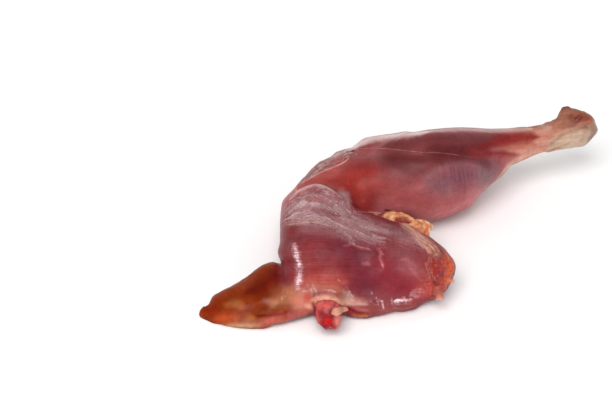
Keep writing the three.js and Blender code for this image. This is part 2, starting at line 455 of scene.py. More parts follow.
# where the sheath ends on the bone, in a slanting cut
sheathEnd = beside(shinWay, shinSide, 91, 0, 16.5)
sheathSlant = 1.8
meatLook = {
    "voxel": 0.56,
    "fairing": 26,
    # bones that the skin takes in: node, growth mm, and planes that trim it
    "plugs": [
        ("shin_bone", 0.7, [(sheathEnd, shinWay - np.array([0, 0, sheathSlant]))]),
        ("thigh_bone", 0.9, [(beside(thighWay, thighSide, 69, 0, 8), thighWay)]),
    ],
    "hollow": {
        "path": [(346, 176), (358, 186), (366, 198), (372, 208)], "reach": 15, "edge": 1.4, "rounds": 260,
    },
    "shank": {"start": 68, "ramp": 14},    # mm along the shin
    # reach, shift to the right and down, and path, all in pixels of the picture
    "drawn": [
        (20, (-3.0, -3.0), [(483, 195), (490, 187)]),
        (18, (-4.0, 0.5), [(426, 234), (436, 242), (446, 252)]),
        (12, (0.0, -2.5), [(426, 303), (434, 300.5), (442, 297)]),
        (10, (0.0, 2.4), [(404, 309), (412, 307.5)]),
        (8, (0.0, 1.4), [(352, 314.5), (360, 315.5), (366, 315.5)]),
        (18, (-6.5, 0.0), [(289, 204), (288, 216), (287, 232), (285, 250)]),
        (17, (3.0, 4.5), [(330, 152), (335, 148.5), (341, 144.5), (346, 142)]),
        (12, (0.0, -2.5), [(368, 140.5), (384, 138.5), (404, 136)]),
        (14, (0.0, -4.5), [(276, 327), (292, 323), (310, 319)]),
        *ankleDrawn,
    ],
    # broad washes of colour, softened, and sharper strokes: colour, reach mm, strength, edge, path
    "washes": [
        # drumstick
        ("brownRed", 9, 1.0, 0.9, [(384, 147), (410, 142), (440, 138), (470, 138), (500, 138)]),
        # grey mauve along the top edge, and the violet and silver below, are partly a painted sheen
        ("greyMauve", 2.6, 0.5, 0.9, [(436, 129), (470, 129.5), (510, 130)]),
        ("rust", 12, 0.95, 1.0, [(332, 182), (346, 182), (362, 177), (380, 182)]),
        ("calfPink", 14, 0.9, 0.9, [(384, 206), (394, 196), (408, 192), (430, 198), (450, 199)]),
        ("violet", 14, 0.95, 0.8, [(436, 184), (454, 178), (474, 172), (494, 170)]),
        ("silver", 9, 0.9, 0.8, [(480, 164), (488, 174), (486, 188)]),
        ("greyMauve", 6, 0.25, 0.8, [(430, 176), (438, 186), (452, 192)]),
        ("brownRed", 7, 0.8, 0.8, [(386, 163), (404, 169), (424, 170)]),
        ("brownRed", 7, 0.4, 0.8, [(388, 176), (404, 178), (418, 178)]),
        ("deepRed", 7, 0.9, 0.9, [(384, 157), (405, 159), (428, 159), (446, 156), (470, 154)]),
        ("deepRed", 4.5, 0.9, 0.9, [(426, 150), (450, 148), (486, 147)]),
        ("brownRed", 5.5, 0.9, 0.9, [(468, 158), (482, 161), (490, 166)]),
        ("kneeGrey", 6, 0.5, 0.8, [(352, 156), (366, 155), (380, 160)]),
        ("rosePale", 6.5, 0.8, 0.9, [(424, 216), (448, 211), (465, 203), (484, 190)]),
        # paler in the crook beside the fat: painted light against the shade that falls there
        ("rosePale", 6, 0.8, 0.8, [(380, 207), (398, 209), (424, 214)]),
        ("hollow", 7.5, 0.9, 1.0, [(356, 183), (361, 196), (366, 208)]),
        ("shankPink", 4.5, 0.8, 1.0, [(508, 149), (530, 145), (550, 141)]),
        ("sheath", 8, 0.8, 1.0, [(556, 121), (568, 113), (586, 115)]),
        ("sheathTan", 3, 0.7, 0.9, [(554, 129), (566, 121), (586, 117)]),
        # thigh
        ("striated", 6, 0.9, 0.9, [(288, 230), (287, 252), (289, 272)]),
        # purple over the thigh's middle: partly a painted sheen
        ("purple", 13, 0.95, 1.0, [(346, 246), (362, 258), (366, 284)]),
        ("crimson", 14, 0.95, 1.0, [(386, 272), (406, 280), (414, 295)]),
        ("striated", 9, 0.85, 0.9, [(298, 262), (318, 265), (336, 264)]),
        ("salmon", 5.5, 0.8, 0.9, [(300, 282), (318, 279), (342, 281)]),
        ("tanPink", 4.0, 0.8, 0.8, [(298, 292), (318, 288), (340, 291)]),
        ("lipPink", 3.0, 0.8, 1.1, [(352, 309), (372, 310), (390, 310), (414, 306)]),
        ("innerPink", 6, 0.35, 0.8, [(305, 246), (306, 262), (306, 276)]),
        ("fascia", 9, 0.3, 0.8, [(396, 252), (410, 262), (420, 272)]),
        ("fascia", 4, 0.5, 0.8, [(300, 229), (320, 230), (340, 236)]),
        # cut end
        ("edgePink", 5, 0.8, 0.8, [(430, 238), (443, 247), (450, 258)]),
        ("cutPink", 5, 0.8, 0.9, [(428, 260), (427, 276), (430, 288)]),
        ("salmon", 5, 0.9, 0.9, [(420, 291), (432, 291), (440, 295)]),
        ("salmon", 4, 0.9, 0.9, [(432, 285), (441, 288), (449, 283)]),
        ("cutEdge", 4.0, 1.0, 1.0, [(448, 256), (451, 268), (448, 280)]),
    ],
    "strokes": [
        ("deepRed", 3.2, 0.4, 0.8, [(363, 251), (374, 252), (376, 258)]),
        ("deepRed", 1.9, 0.5, 0.8, [(345, 265), (351, 268)]),
        ("striated", 3.6, 0.4, 0.8, [(411, 253), (419, 259), (424, 270)]),
        # the next five are pale flecks where the fascia's edges glint: painted highlights
        ("rosePale", 0.9, 0.5, 0.9, [(343, 246.5), (349, 245), (354, 243.5)]),
        ("greyMauve", 1.0, 0.6, 0.9, [(350, 238), (353, 242), (355, 246)]),
        ("rosePale", 0.75, 0.6, 0.9, [(355, 245), (360, 247.5), (365, 248), (371, 250)]),
        ("rosePale", 0.75, 0.6, 0.9, [(377, 248), (381, 253), (380, 258), (382, 263), (384, 270)]),
        ("rosePale", 0.8, 0.6, 0.9, [(362, 263), (366, 264), (371, 265)]),
        ("rosePale", 0.75, 0.5, 0.9, [(400, 261), (405, 259), (410, 262), (416, 267)]),
        ("rosePale", 0.75, 0.45, 0.9, [(407, 262), (412, 270), (417, 276), (425, 285)]),
        ("brownRed", 3.0, 0.45, 0.8, [(414, 176), (424, 169), (440, 162), (462, 159)]),
        ("greyMauve", 2.6, 0.3, 0.8, [(424, 184), (430, 175), (444, 167.5), (464, 164.5), (482, 167)]),
        ("muscleRed", 3.4, 0.55, 0.9, [(466, 150), (480, 148), (494, 144)]),
        ("muscleRed", 4.4, 0.9, 1.1, [(482, 146), (498, 141), (514, 138), (526, 137), (538, 137)]),
        ("tendon", 2.2, 0.4, 0.8, [(532, 130), (546, 133)]),
        ("tendon", 2.6, 0.45, 0.8, [(534, 142), (550, 141)]),
        ("tendon", 2.2, 0.5, 0.8, [(508, 151), (518, 152), (526, 151)]),
        ("shankPink", 1.4, 0.6, 0.9, [(492, 149.5), (506, 148), (524, 146)]),
        ("muscleRed", 2.1, 0.85, 0.9, [(470, 156), (486, 154), (502, 153.5), (520, 155)]),
        ("tendon", 4.0, 0.8, 0.8, [(552, 149), (532, 153), (518, 159)]),
        ("tendon", 3.0, 0.95, 1.1, [(524, 156), (513, 163), (505, 170), (497, 180)]),
        ("kneeWhite", 2.6, 0.6, 0.8, [(539, 126), (551, 128)]),
        ("rust", 3.6, 0.45, 0.8, [(568, 119), (584, 116)]),
        ("tan", 2.4, 0.5, 0.8, [(561, 114), (570, 112), (577, 112)]),
        ("rust", 2.0, 0.5, 0.9, [(578, 122), (584, 121), (587, 118)]),
        ("rust", 2.0, 0.3, 0.8, [(584, 115), (590, 119), (595, 127)]),
        ("sheath", 5, 0.6, 0.9, [(558, 127), (572, 122), (588, 120)]),
        ("rust", 3.0, 0.3, 0.8, [(584, 116), (588, 121), (589, 126)]),
        ("brownRed", 1.8, 0.6, 1.0, [(560, 112), (564, 109), (570, 109)]),
        ("brownRed", 1.1, 0.45, 0.9, [(560, 129), (570, 127), (579, 122), (585, 120)]),
        ("brownRed", 1.0, 0.4, 0.9, [(563, 117), (571, 115), (577, 117)]),
        ("cream", 4.8, 0.95, 1.3, [(549, 148), (562, 141), (574, 136.5), (588, 130)]),
        ("greyCream", 2.8, 0.6, 0.8, [(586, 125), (584, 134), (581, 141)]),
        ("sheath", 1.0, 0.6, 1.0, [(547, 148), (556, 140), (564, 134), (577, 130), (593, 123)]),
        ("pit", 1.9, 0.95, 1.3, [(575.5, 118.5), (578.5, 118), (582, 117.5)]),
        # knee
        ("kneeGrey", 6.5, 0.85, 0.9, [(298, 184), (318, 168), (334, 157), (350, 152)]),
        ("salmon", 3.6, 0.7, 0.8, [(306, 184), (324, 177), (342, 170)]),
        ("innerPink", 3.5, 0.7, 0.8, [(304, 189), (316, 183), (330, 184), (342, 189)]),
        # thigh
        ("hem", 2.6, 0.9, 0.8, [(312, 300), (322, 298), (335, 300), (350, 303)]),
        # lighter on the edge that turns down below the hem: painted light against its shade
        ("hem", 2.0, 0.7, 0.8, [(305, 305), (310, 307), (313, 309)]),
        ("hem", 0.8, 0.7, 0.9, [(314, 302.5), (324, 300.5), (335, 302), (346, 305)]),
        ("salmon", 1.2, 0.6, 0.8, [(336, 294), (341, 298), (344, 301)]),
        ("coral", 2.8, 0.7, 0.8, [(303, 297), (311, 298)]),
        ("rosePale", 1.3, 0.6, 0.9, [(352, 306.5), (360, 309.5), (369, 311)]),
        ("slit", 1.9, 1.0, 1.6, [(346, 309), (350, 310.5), (355, 312.5)]),
        ("slit", 1.2, 0.95, 1.4, [(349, 311), (358, 314), (369, 315)]),
        ("apronTan", 0.8, 0.8, 1.1, [(352, 315), (360, 316.5), (371, 315.5)]),
        ("fascia", 9, 0.9, 1.1, [(292, 211), (305, 203), (320, 200), (335, 206), (346, 214)]),
        ("fascia", 6.0, 0.9, 1.1, [(290, 217), (310, 217), (330, 221), (342, 227)]),
        ("fascia", 8, 0.75, 0.8, [(344, 216), (358, 224), (374, 229)]),
        ("fascia", 5.5, 0.8, 0.8, [(336, 226), (350, 232), (366, 236), (384, 238)]),
        ("fascia", 8, 0.5, 0.7, [(364, 226), (385, 230), (405, 236), (420, 243)]),
        ("fascia", 3.4, 0.95, 1.0, [(338, 190), (345, 194), (350, 203)]),
        ("innerPink", 2.6, 0.5, 0.8, [(330, 174), (344, 168)]),
        ("tanPink", 2.6, 0.6, 0.8, [(328, 292), (338, 291), (350, 293)]),
        ("rosePale", 3.0, 0.5, 0.8, [(396, 206), (416, 208)]),
        # cut end
        ("cutEdge", 3.2, 0.6, 0.8, [(440, 284), (446, 281), (449, 274)]),
        ("cutRed", 4.6, 1.0, 1.3, [(435, 259), (438, 268), (436, 280)]),
        ("deepRed", 0.9, 0.2, 1.0, [(432, 256), (429, 266), (431, 276), (436, 285)]),
        ("cutPink", 0.8, 0.7, 1.0, [(433, 258), (432, 268), (436, 280)]),
        ("cutPink", 0.8, 0.7, 1.0, [(441, 259), (443, 268), (440, 280)]),
        ("speck", 1.3, 0.7, 1.0, [(431, 281), (435, 283), (439, 285)]),
        ("speck", 1.0, 0.7, 1.0, [(440, 272), (444, 276)]),
        ("speck", 1.0, 0.5, 1.0, [(436, 262), (437, 270)]),
    ],
    # height, reach mm, path
    "ridges": [
        (1.6, 3.2, [(293, 202), (297, 196), (306, 190), (318, 188), (330, 193), (342, 202), (352, 211)]),
        (-0.9, 3.0, [(310, 199), (322, 199), (333, 205)]),
        (0.7, 1.5, [(297, 190), (303, 185), (312, 179), (322, 173), (335, 168), (345, 163), (351, 158)]),
        (-0.9, 3.6, [(304, 189), (318, 182), (330, 184), (341, 191), (349, 201)]),
        (-0.4, 3.6, [(356, 154), (385, 152), (425, 155), (450, 156), (475, 155), (500, 160)]),
        (0.25, 1.0, [(352, 151), (385, 150), (425, 153)]),
        (-0.5, 2.4, [(478, 149), (505, 147), (535, 142)]),
        (0.5, 2.6, [(545, 150), (528, 156), (514, 163)]),
        (0.4, 2.1, [(530, 134), (548, 128), (562, 121)]),
        (-1.0, 2.6, [(572, 118), (580, 117)]),
        (0.7, 2.4, [(563, 109), (568, 108)]),
        (1.1, 4.5, [(580, 115), (589, 121)]),
        (0.2, 3.0, [(308, 299), (320, 297), (335, 299), (346, 303)]),
        (-0.8, 1.6, [(346, 309), (351, 311), (358, 313.5), (367, 314.5)]),
        (0.25, 1.3, [(350, 314.5), (360, 316), (370, 315)]),
        (0.8, 2.2, [(371, 303), (384, 308)]),
        (1.0, 2.4, [(393, 305), (403, 305), (413, 304)]),
    ],
    # pale film along the top edge, partly a painted rim highlight: strength, reach mm, and depth, left and
    # right end in pixels
    "rim": [(0.8, 6.0, 7.5, 346, 426), (0.45, 4.0, 5.0, 410, 530)],
    # pale film beside the slit, in pixels apart from its reach in mm
    "film": {
        "middle": (356, 299), "reach": 9.0, "left": 338, "right": 372, "ramp": 8, "foot": 306.5,
        "footRamp": 2, "top": 285, "slant": 0.4, "depth": 12, "strength": 0.7, "waver": 0.4,
    },
    # strength, reach mm, path
    "bands": [
        (1.0, 14, [(300, 240), (320, 256), (332, 270)]),
        (0.9, 11, [(452, 172), (472, 174), (490, 178)]),
    ],
    # the fascia's crest and lower edge, its strength, reach mm, edge and path, its pale border, which is
    # partly a painted highlight along the crest, and its hollow
    "crest": [
        (284, 212), (290, 203), (297, 195), (306, 190), (318, 188), (330, 193), (342, 202), (356, 215),
        (376, 224), (404, 234), (432, 248),
    ],
    "lowerEdge": [(282, 228), (300, 226), (320, 226), (338, 232), (356, 247), (380, 257), (410, 264)],
    "fascia": [
        (1.0, 9, 1.2, [(292, 210), (305, 202), (320, 200), (335, 206), (346, 214)]),
        (1.0, 6, 1.4, [(289, 217), (310, 217), (330, 221), (342, 227)]),
        (0.8, 9, 0.8, [(344, 216), (358, 224), (372, 228)]),
        (0.8, 6, 0.9, [(336, 226), (350, 232), (366, 236), (380, 238)]),
        (0.5, 8, 0.8, [(366, 226), (385, 230), (405, 236), (420, 243)]),
    ],
    "fasciaBorder": [
        ("fasciaWhite", 1.6, 0.8, 0.9,
         [(292, 203), (299, 195), (308, 190), (318, 188), (331, 193), (343, 202)]),
        ("fasciaWhite", 2.6, 0.6, 0.8, [(335, 193), (344, 198), (352, 206)]),
    ],
    "pocket": [(309, 198), (320, 198), (331, 203)],
    # loose tissue over the knee, the ridge below it and its palest part
    "tissue": [(304, 180), (318, 167), (334, 157), (349, 152)],
    "tissueRidge": [(286, 205), (300, 188), (322, 173), (350, 158)],
    "tissuePale": [(322, 161), (336, 155), (348, 151)],
    "wrinkles": [(294, 243), (297, 264), (298, 288)],
    "fatBand": [(388, 215), (402, 223), (414, 231), (424, 240), (433, 249)],
    # the flat face at the cut end, how far it is set back in mm, and the raw part around it
    "cutFace": {
        "path": [(437, 268), (443, 270)], "reach": 6.4, "edge": 2.2, "middle": (440, 269), "back": 1.1,
    },
    "raw": [(440, 262), (446, 271), (438, 287)],
    # painted wet glints, a highlight colour laid into the surface: reach mm, strength, path
    "paintedShine": [
        (3.6, 0.6, [(294, 245), (296, 255), (298, 264), (299, 275), (298, 288)]),
        (2.2, 0.9, [(295, 248), (297, 256), (299, 265), (300, 275), (298, 284)]),
        (0.9, 0.7, [(303, 291), (312, 290)]),
        (0.7, 0.7, [(321, 291), (330, 290), (336, 292)]),
        (0.9, 0.8, [(346, 293), (349, 296)]),
        (0.8, 0.6, [(336, 280), (340, 280)]),
        (0.8, 0.7, [(340, 295), (342, 299)]),
        (0.8, 0.6, [(371, 291), (372, 294)]),
        (0.8, 0.8, [(376, 297), (378, 304)]),
        (0.7, 0.7, [(380, 299), (381, 302)]),
        (0.8, 0.8, [(382, 300), (383, 308)]),
        (0.8, 0.7, [(391, 297), (392, 303)]),
        (2.0, 0.9, [(395, 301.5), (401, 300.5), (406, 301)]),
        (1.4, 0.7, [(406, 300), (412, 300.5)]),
        (0.7, 0.9, [(398, 297), (398, 303)]),
        (0.7, 0.8, [(404, 297), (404, 301)]),
        (2.6, 0.45, [(410, 295), (416, 291), (421, 289)]),
        (1.8, 0.45, [(414, 298), (420, 294)]),
        (0.7, 0.5, [(346, 240), (353, 244), (360, 247), (370, 249)]),
        (0.7, 0.6, [(379, 248), (383, 254)]),
        (0.7, 0.5, [(381, 261), (383, 267)]),
        (0.6, 0.4, [(365, 262), (371, 264)]),
    ],
    # half width mm, strength, path: pale threads and dark lines
    "pale": [
        (0.16, 0.4, [(350, 150), (368, 148.5), (388, 149), (410, 151), (430, 152.5)]),
        (0.15, 0.2, [(424, 152), (440, 152.5), (458, 154.5), (474, 157.5)]),
        (0.3, 0.9, [(288, 201), (293, 195), (300, 187), (310, 180), (322, 173), (335, 168), (345, 163),
                    (351, 157)]),
        (0.22, 0.7, [(287, 225), (300, 223), (312, 222), (325, 224), (338, 230)]),
        (0.2, 0.5, [(288, 219), (302, 216), (318, 216), (334, 221), (350, 231)]),
        # along the crest: partly a painted highlight
        (0.26, 0.5, [(289, 204), (297, 195), (306, 189), (318, 187), (330, 192), (341, 200), (351, 211)]),
        (0.25, 0.8, [(388, 214), (396, 221), (403, 225), (412, 231), (421, 241), (431, 256)]),
        (0.25, 0.8, [(404, 223), (414, 231), (424, 240), (434, 251)]),
        (0.2, 0.7, [(410, 232), (417, 239), (424, 249)]),
        (0.2, 0.7, [(413, 224), (424, 233), (434, 243)]),
        (0.18, 0.28, [(429, 256), (429, 264), (431, 273), (437, 283)]),
        (0.16, 0.35, [(425, 262), (427, 270), (430, 279)]),
        (0.14, 0.4, [(432, 259), (435, 266), (441, 270)]),
        (0.14, 0.4, [(443, 262), (439, 270), (434, 276)]),
        (0.14, 0.35, [(429, 270), (434, 274), (441, 279)]),
        (0.2, 0.6, [(436, 258), (437, 265), (435, 272)]),
        (0.16, 0.5, [(432, 262), (436, 270), (434, 279)]),
        (0.16, 0.5, [(439, 258), (441, 266), (447, 274)]),
        (0.2, 0.6, [(442, 259), (445, 267), (442, 277)]),
        (0.18, 0.5, [(424, 219), (434, 216), (442, 212)]),
        (0.3, 0.7, [(356, 211), (368, 212), (382, 213.5)]),
        # these three are faint painted glints on the fascia's edges
        (0.14, 0.14, [(350, 238), (353, 242), (355, 246)]),
        (0.14, 0.14, [(355, 245), (360, 247.5), (365, 248)]),
        (0.14, 0.12, [(377, 248), (380, 253), (380, 258), (382, 263), (384, 270)]),
    ],
    "dark": [
        (0.3, 0.5, [(452, 152), (462, 155), (470, 158), (480, 160)]),
        (0.5, 0.9, [(346, 152), (350, 152), (354, 151)]),
        (0.5, 0.8, [(384, 210), (390, 211), (397, 213)]),
        (0.25, 0.4, [(434, 259), (433, 268), (435, 278)]),
        (0.3, 0.7, [(440, 270), (443, 275), (444, 280)]),
    ],
    # how wet: strength, reach mm, path
    "wet": [
        (0.4, 4.0, [(294, 243), (297, 264), (298, 286)]),
        (0.6, 4, [(368, 294), (380, 300), (405, 300), (422, 293)]),
        (0.7, 4, [(303, 290), (320, 290), (338, 292), (349, 296)]),
        (0.5, 5, [(432, 262), (446, 270), (440, 286)]),
    ],
}


def makeMeat():
    look = meatLook
    skin = Skin("meat", "meatSkin", look["voxel"], look["fairing"], look["plugs"])
    (_, thighAcross), (shinAlong, shinAcross), toShin = limbCoordinates(skin.points)
    # trims the outline and evens out the hollow beside the knee
    skin.drawOutline(look["drawn"])
    hollow = look["hollow"]
    skin.relax(hollow["rounds"], skin.brush(hollow["path"], hollow["reach"], hollow["edge"])[:, None])
    skin.settle()
    base = skin.points.copy()
    nothing = np.zeros(len(base))
    level = -(base @ upward)    # down the picture, which the thigh's bands follow
    paint = Paint(skin, "thighRed")
    paint.lay(toShin, "calfPink")
    shank = ease((shinAlong - look["shank"]["start"]) / look["shank"]["ramp"]) * toShin
    paint.lay(shank, "tan")
    patchy = layered(base, (4.0, 11, 1.0), (1.8, 12, 0.6))
    paint.dapple(shank, patchy, ("tendon", 0.4, 1.5), ("sheath", 0.35, 1.5))
    paint.lay(0.8 * ease((1 - shinAcross) / 6) * toShin * (1 - shank), "brownRed")
    paint.strokes(look["washes"], 0.35)
    paint.strokes(apron)
    paint.soften(16)
    paint.strokes(look["strokes"])
    paint.soften(1)

    # a pale film beside the slit: soft above, with a sharp lower edge
    px, py = seenAt(base)
    film = look["film"]
    filmed = np.linalg.norm(base - skin.lineAt([film["middle"]])[0], axis=1) < film["reach"]
    filmed = filmed * ease((px - film["left"]) / film["ramp"]) * ease((film["right"] - px) / film["ramp"])
    filmed = filmed * ease((film["foot"] - py) / film["footRamp"])
    top = film["top"] + film["slant"] * (px - film["left"])
    filmed = film["strength"] * filmed * ease((py - top) / film["depth"] + film["waver"] * skin.waver)
    paint.lay(filmed, "membrane")

    # a pale film along the drumstick's top outline, partly a painted rim highlight
    column = np.round(px).astype(int)
    outline = np.full(shot["picture"][0], 1e3)
    np.minimum.at(outline, column, py)
    outline = np.convolve(np.pad(outline, 6, "edge"), np.ones(13) / 13, "valid")
    below = (py - outline[column]) * (1 + 0.5 * skin.waver)
    for strength, reach, depth, left, right in look["rim"]:
        along = [(x, outline[x] + 2.2) for x in range(left, right + 1, 8)]
        rim = skin.brush(along, reach, 1.3, 0.6, 0.9)
        paint.lay(strength * rim * ease(1.25 - below / depth), "rimFilmAndHighlight")

    # bands across the thigh and the calf
    band = np.maximum.reduce([strength * skin.brush(path, reach) for strength, reach, path in look["bands"]])
    strip = noiseAt(np.stack([level / 2.4, thighAcross / 16, base[:, 2] / 30], 1), 1.0, 13)
    paint.dapple(band * (1 - toShin), strip, ("striated", 0.25, 2), ("innerPink", 0.2, 2))

    # fascia over the thigh: fine lines between the crest and the lower edge
    toCrest, crestAlong = skin.distance(skin.lineAt(look["crest"]), 30)
    toEdge, _ = skin.distance(skin.lineAt(look["lowerEdge"]), 30)
    wavy = layered(base, (5.0, 41, 1.0), (2.2, 42, 0.5))
    sweep = np.stack([toCrest / np.maximum(toCrest + toEdge, 1e-6) * 16 + wavy, crestAlong * 75, nothing], 1)
    fascia = np.maximum.reduce([
        strength * skin.brush(path, reach, edge) for strength, reach, edge, path in look["fascia"]
    ])
    fold = noiseAt(sweep * np.array([1 / 1.5, 1 / 11, 1]), 1.0, 1)
    fold = fold + 0.6 * noiseAt(sweep * np.array([1 / 0.8, 1 / 7, 1]), 1.0, 2)
    paint.dapple(fascia, fold, ("fasciaWhite", 0.3, 2.2), ("innerPink", 0.2, 2.2))
    pocket = skin.brush(look["pocket"], 4.2, 1.0, 0.4, 1.0)
    paint.lay(0.7 * pocket, "innerPink")
    fascia = fascia * (1 - 0.6 * pocket)
    # the pale crest line, partly a painted highlight
    paint.strokes(look["fasciaBorder"])

    # loose tissue over the knee, drawn out along the ridge below it
    tissue = skin.brush(look["tissue"], 7, 1.4, 0.3, 0.6)
    toRidge, ridgeAlong = skin.distance(skin.lineAt(look["tissueRidge"]), 14)
    drawn = np.stack([toRidge, ridgeAlong * 9, base[:, 2] * 0.1], 1)
    tangle = noiseAt(drawn, 0.9, 7) + 0.7 * noiseAt(base, 1.3, 8)
    paint.dapple(tissue, tangle, ("kneeWhite", 0.75, 1.8), ("brownRed", 0.5, 1.6))
    paint.lay(tissue * 0.6 * skin.brush(look["tissuePale"], 4, 0.9, 0.3, 1.4), "kneeWhite")
    toTissue = ease(tissue * 3)[:, None]
    sweep = sweep * (1 - toTissue) + np.stack([toRidge * 1.6, ridgeAlong * 26, nothing], 1) * toTissue
    fascia = np.maximum(fascia, 0.8 * tissue)

    # ridges and grooves, in mm
    relief = fascia * fold * 0.25 + tissue * tangle * 0.28
    for height, width, path in look["ridges"]:
        relief = relief + height * skin.brush(path, width, 1.0, 0.4)
    wrinkle = noiseAt(np.stack([level / 1.5, thighAcross / 7, base[:, 2] / 9], 1), 1.0, 14)
    relief = relief + skin.brush(look["wrinkles"], 4.5) * 0.12 * wrinkle

    # a band of fat strands along the edge above the cut end
    toBand, bandAlong = skin.distance(skin.lineAt(look["fatBand"]), 6)
    strands = noiseAt(np.stack([toBand / 0.7, bandAlong * 4, nothing], 1), 1.0, 16)
    strands = strands + 0.5 * noiseAt(base, 1.4, 17)
    fatty = ease(1.4 - toBand / (0.8 + 2.6 * ease(bandAlong * 1.6)) + 0.3 * skin.waver)
    paint.lay(fatty * 0.55, "fatLine")
    paint.dapple(fatty, strands, ("fatGrey", 0.7, 2), ("edgePink", 0.5, 2))
    relief = relief + fatty * (0.3 + 0.3 * strands)

    # where the surface glints: the mask of the painted highlights
    paintedShine = np.maximum.reduce([
        strength * skin.brush(path, reach, 1.2, 0.4, 0.8) for reach, strength, path in look["paintedShine"]
    ])

    # the raw cut end: a flat, rough face
    cutFace = look["cutFace"]
    face = skin.brush(cutFace["path"], cutFace["reach"], cutFace["edge"])
    middle = skin.lineAt([cutFace["middle"]])[0]
    facing = (skin.normals * face[:, None]).sum(0)
    facing /= np.linalg.norm(facing)
    beyond = (base - middle) @ facing
    skin.points = skin.points + np.outer(face * (-cutFace["back"] - beyond), facing)
    cut = skin.brush(look["raw"], 9.0, 1.6)
    crumb = layered(base, (0.8, 51, 1.0), (1.7, 52, 0.6))
    paint.dapple(cut, crumb, ("rosePale", 0.4, 2.2), ("cutRed", 0.45, 2.2), -0.5)
    relief = relief + cut * layered(base, (2.2, 3, 0.45), (1.1, 4, 0.3))
    relief = relief + layered(base, (14.0, 5, 0.22), (5.0, 6, 0.1))    # uneven everywhere
    pale, paleStrength = skin.threads(look["pale"])
    dark, darkStrength = skin.threads(look["dark"])
    wet = np.maximum.reduce([strength * skin.brush(path, reach) for strength, reach, path in look["wet"]])
    skin.push(relief)

    grain = np.stack([
        level * (1 - toShin) + shinAlong * toShin,
        thighAcross * (1 - toShin) + shinAcross * toShin,
        base[:, 2],
    ], 1)
    paint.store()
    for name, values in (("grain", grain), ("sweep", sweep), ("fascia", fascia), ("band", band), ("cut", cut),
                         ("shank", shank), ("wet", wet), ("paintedShine", paintedShine), ("pale", pale),
                         ("paleStrength", paleStrength), ("dark", dark), ("darkStrength", darkStrength)):
        skin.store(name, values)
    skin.finish(meatMaterial())
    return paint


def place(tree, kind, settings=None, **inputs):
    # one node, with its options, values and links
    node = tree.nodes.new(kind)
    for name, value in (settings or {}).items():
        setattr(node, name, value)
    for name, value in inputs.items():
        byNumber = name[0] == "i" and name[1:].isdigit()
        socket = node.inputs[int(name[1:])] if byNumber else node.inputs[name.replace("_", " ")]
        if isinstance(value, bpy.types.NodeSocket):
            tree.links.new(value, socket)
        else:
            socket.default_value = value
    return node


def mixColour(tree, factor, a, b):
    return place(tree, "ShaderNodeMix", {"data_type": "RGBA"}, i0=factor, i6=a, i7=b).outputs[2]


def maths(tree, operation, a, b=0.0):
    return place(tree, "ShaderNodeMath", {"operation": operation}, i0=a, i1=b).outputs[0]


def plus(tree, a, b):
    return maths(tree, "ADD", a, b)


def times(tree, a, b):
    return maths(tree, "MULTIPLY", a, b)


def scaled(tree, colour, gain):
    return place(tree, "ShaderNodeVectorMath", {"operation": "SCALE"}, i0=colour, i3=gain).outputs[0]


def attribute(tree, name, output="Fac"):
    return place(tree, "ShaderNodeAttribute", {"attribute_name": name}).outputs[output]


def ranged(tree, value, low, high, toLow=0.0, toHigh=1.0):
    node = place(tree, "ShaderNodeMapRange", {"clamp": True}, i0=value, i1=low, i2=high, i3=toLow, i4=toHigh)
    return node.outputs[0]


def spread(tree, value, toLow, toHigh):
    # from the middle of a noise's range
    return ranged(tree, value, 0.3, 0.7, toLow, toHigh)


def newGroup(name, inputs, outputs):
    # an empty node group, with the names and kinds of its sockets
    group = bpy.data.node_groups.new(name, "ShaderNodeTree")
    for way, sockets in (("INPUT", inputs), ("OUTPUT", outputs)):
        for label, kind in sockets.items():
            group.interface.new_socket(name=label, in_out=way, socket_type="NodeSocket" + kind)
    return group, group.nodes.new("NodeGroupInput").outputs, group.nodes.new("NodeGroupOutput").inputs


def useGroup(tree, group, **inputs):
    return place(tree, "ShaderNodeGroup", {"node_tree": group}, **inputs).outputs


def makeStreaks():
    # noise drawn out across the limb or along it, from 0 to 1
    sockets = {"Grain": "Vector", "Along": "Float", "Across": "Float", "Detail": "Float"}
    group, given, made = newGroup("streaks", sockets, {"Streak": "Float"})
    stretch = place(group, "ShaderNodeCombineXYZ", X=given["Along"], Y=given["Across"], Z=given["Across"])
    drawn = place(group, "ShaderNodeVectorMath", {"operation": "MULTIPLY"}, i0=given["Grain"],
                  i1=stretch.outputs[0])
    texture = place(group, "ShaderNodeTexNoise", Vector=drawn.outputs[0], Scale=1.0, Detail=given["Detail"],
                    Roughness=0.6)
    group.links.new(texture.outputs["Fac"], made["Streak"])
    return group


def makeMottle():
    # cloudy noise that is fixed to the piece, from 0 to 1
    group, given, made = newGroup("mottle", {"Scale": "Float", "Detail": "Float"}, {"Mottle": "Float"})
    where = place(group, "ShaderNodeTexCoord").outputs["Object"]
    texture = place(group, "ShaderNodeTexNoise", Vector=where, Scale=given["Scale"], Detail=given["Detail"],
                    Roughness=0.58)
    group.links.new(texture.outputs["Fac"], made["Mottle"])
    return group


streaks = makeStreaks()
mottle = makeMottle()


def streak(tree, grain, along, across, detail=3.0):
    return useGroup(tree, streaks, Grain=grain, Along=along, Across=across, Detail=detail)["Streak"]


def mottled(tree, scale, detail=4.0):
    return useGroup(tree, mottle, Scale=scale, Detail=detail)["Mottle"]


